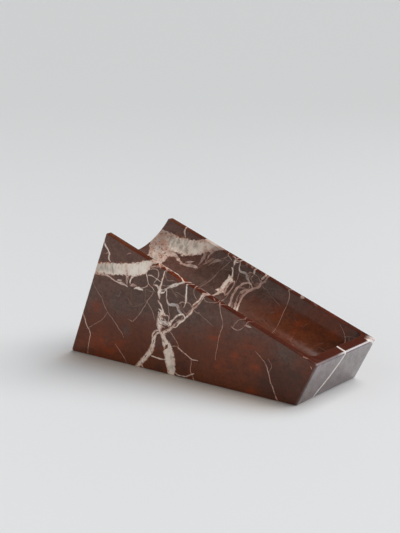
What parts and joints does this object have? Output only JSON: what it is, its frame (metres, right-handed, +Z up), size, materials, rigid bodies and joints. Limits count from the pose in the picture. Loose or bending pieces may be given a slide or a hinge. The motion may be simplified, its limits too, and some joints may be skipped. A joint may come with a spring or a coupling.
{
  "type": "balancing wine bottle holder",
  "caption": "Solid marble wedge with a sloped round trough that holds a wine bottle lying down, base low and neck raised.",
  "frame": {"origin": "on the ground, at the middle of the block's overall length and width", "axes": "+X along the block to its low end, +Z up, Y across the block"},
  "size_m": [0.2618, 0.0918, 0.1145],
  "materials": {
    "marble": "polished"
  },
  "bodies": {
    "root": {"marble_block": "marble"}
  },
  "joints": []
}
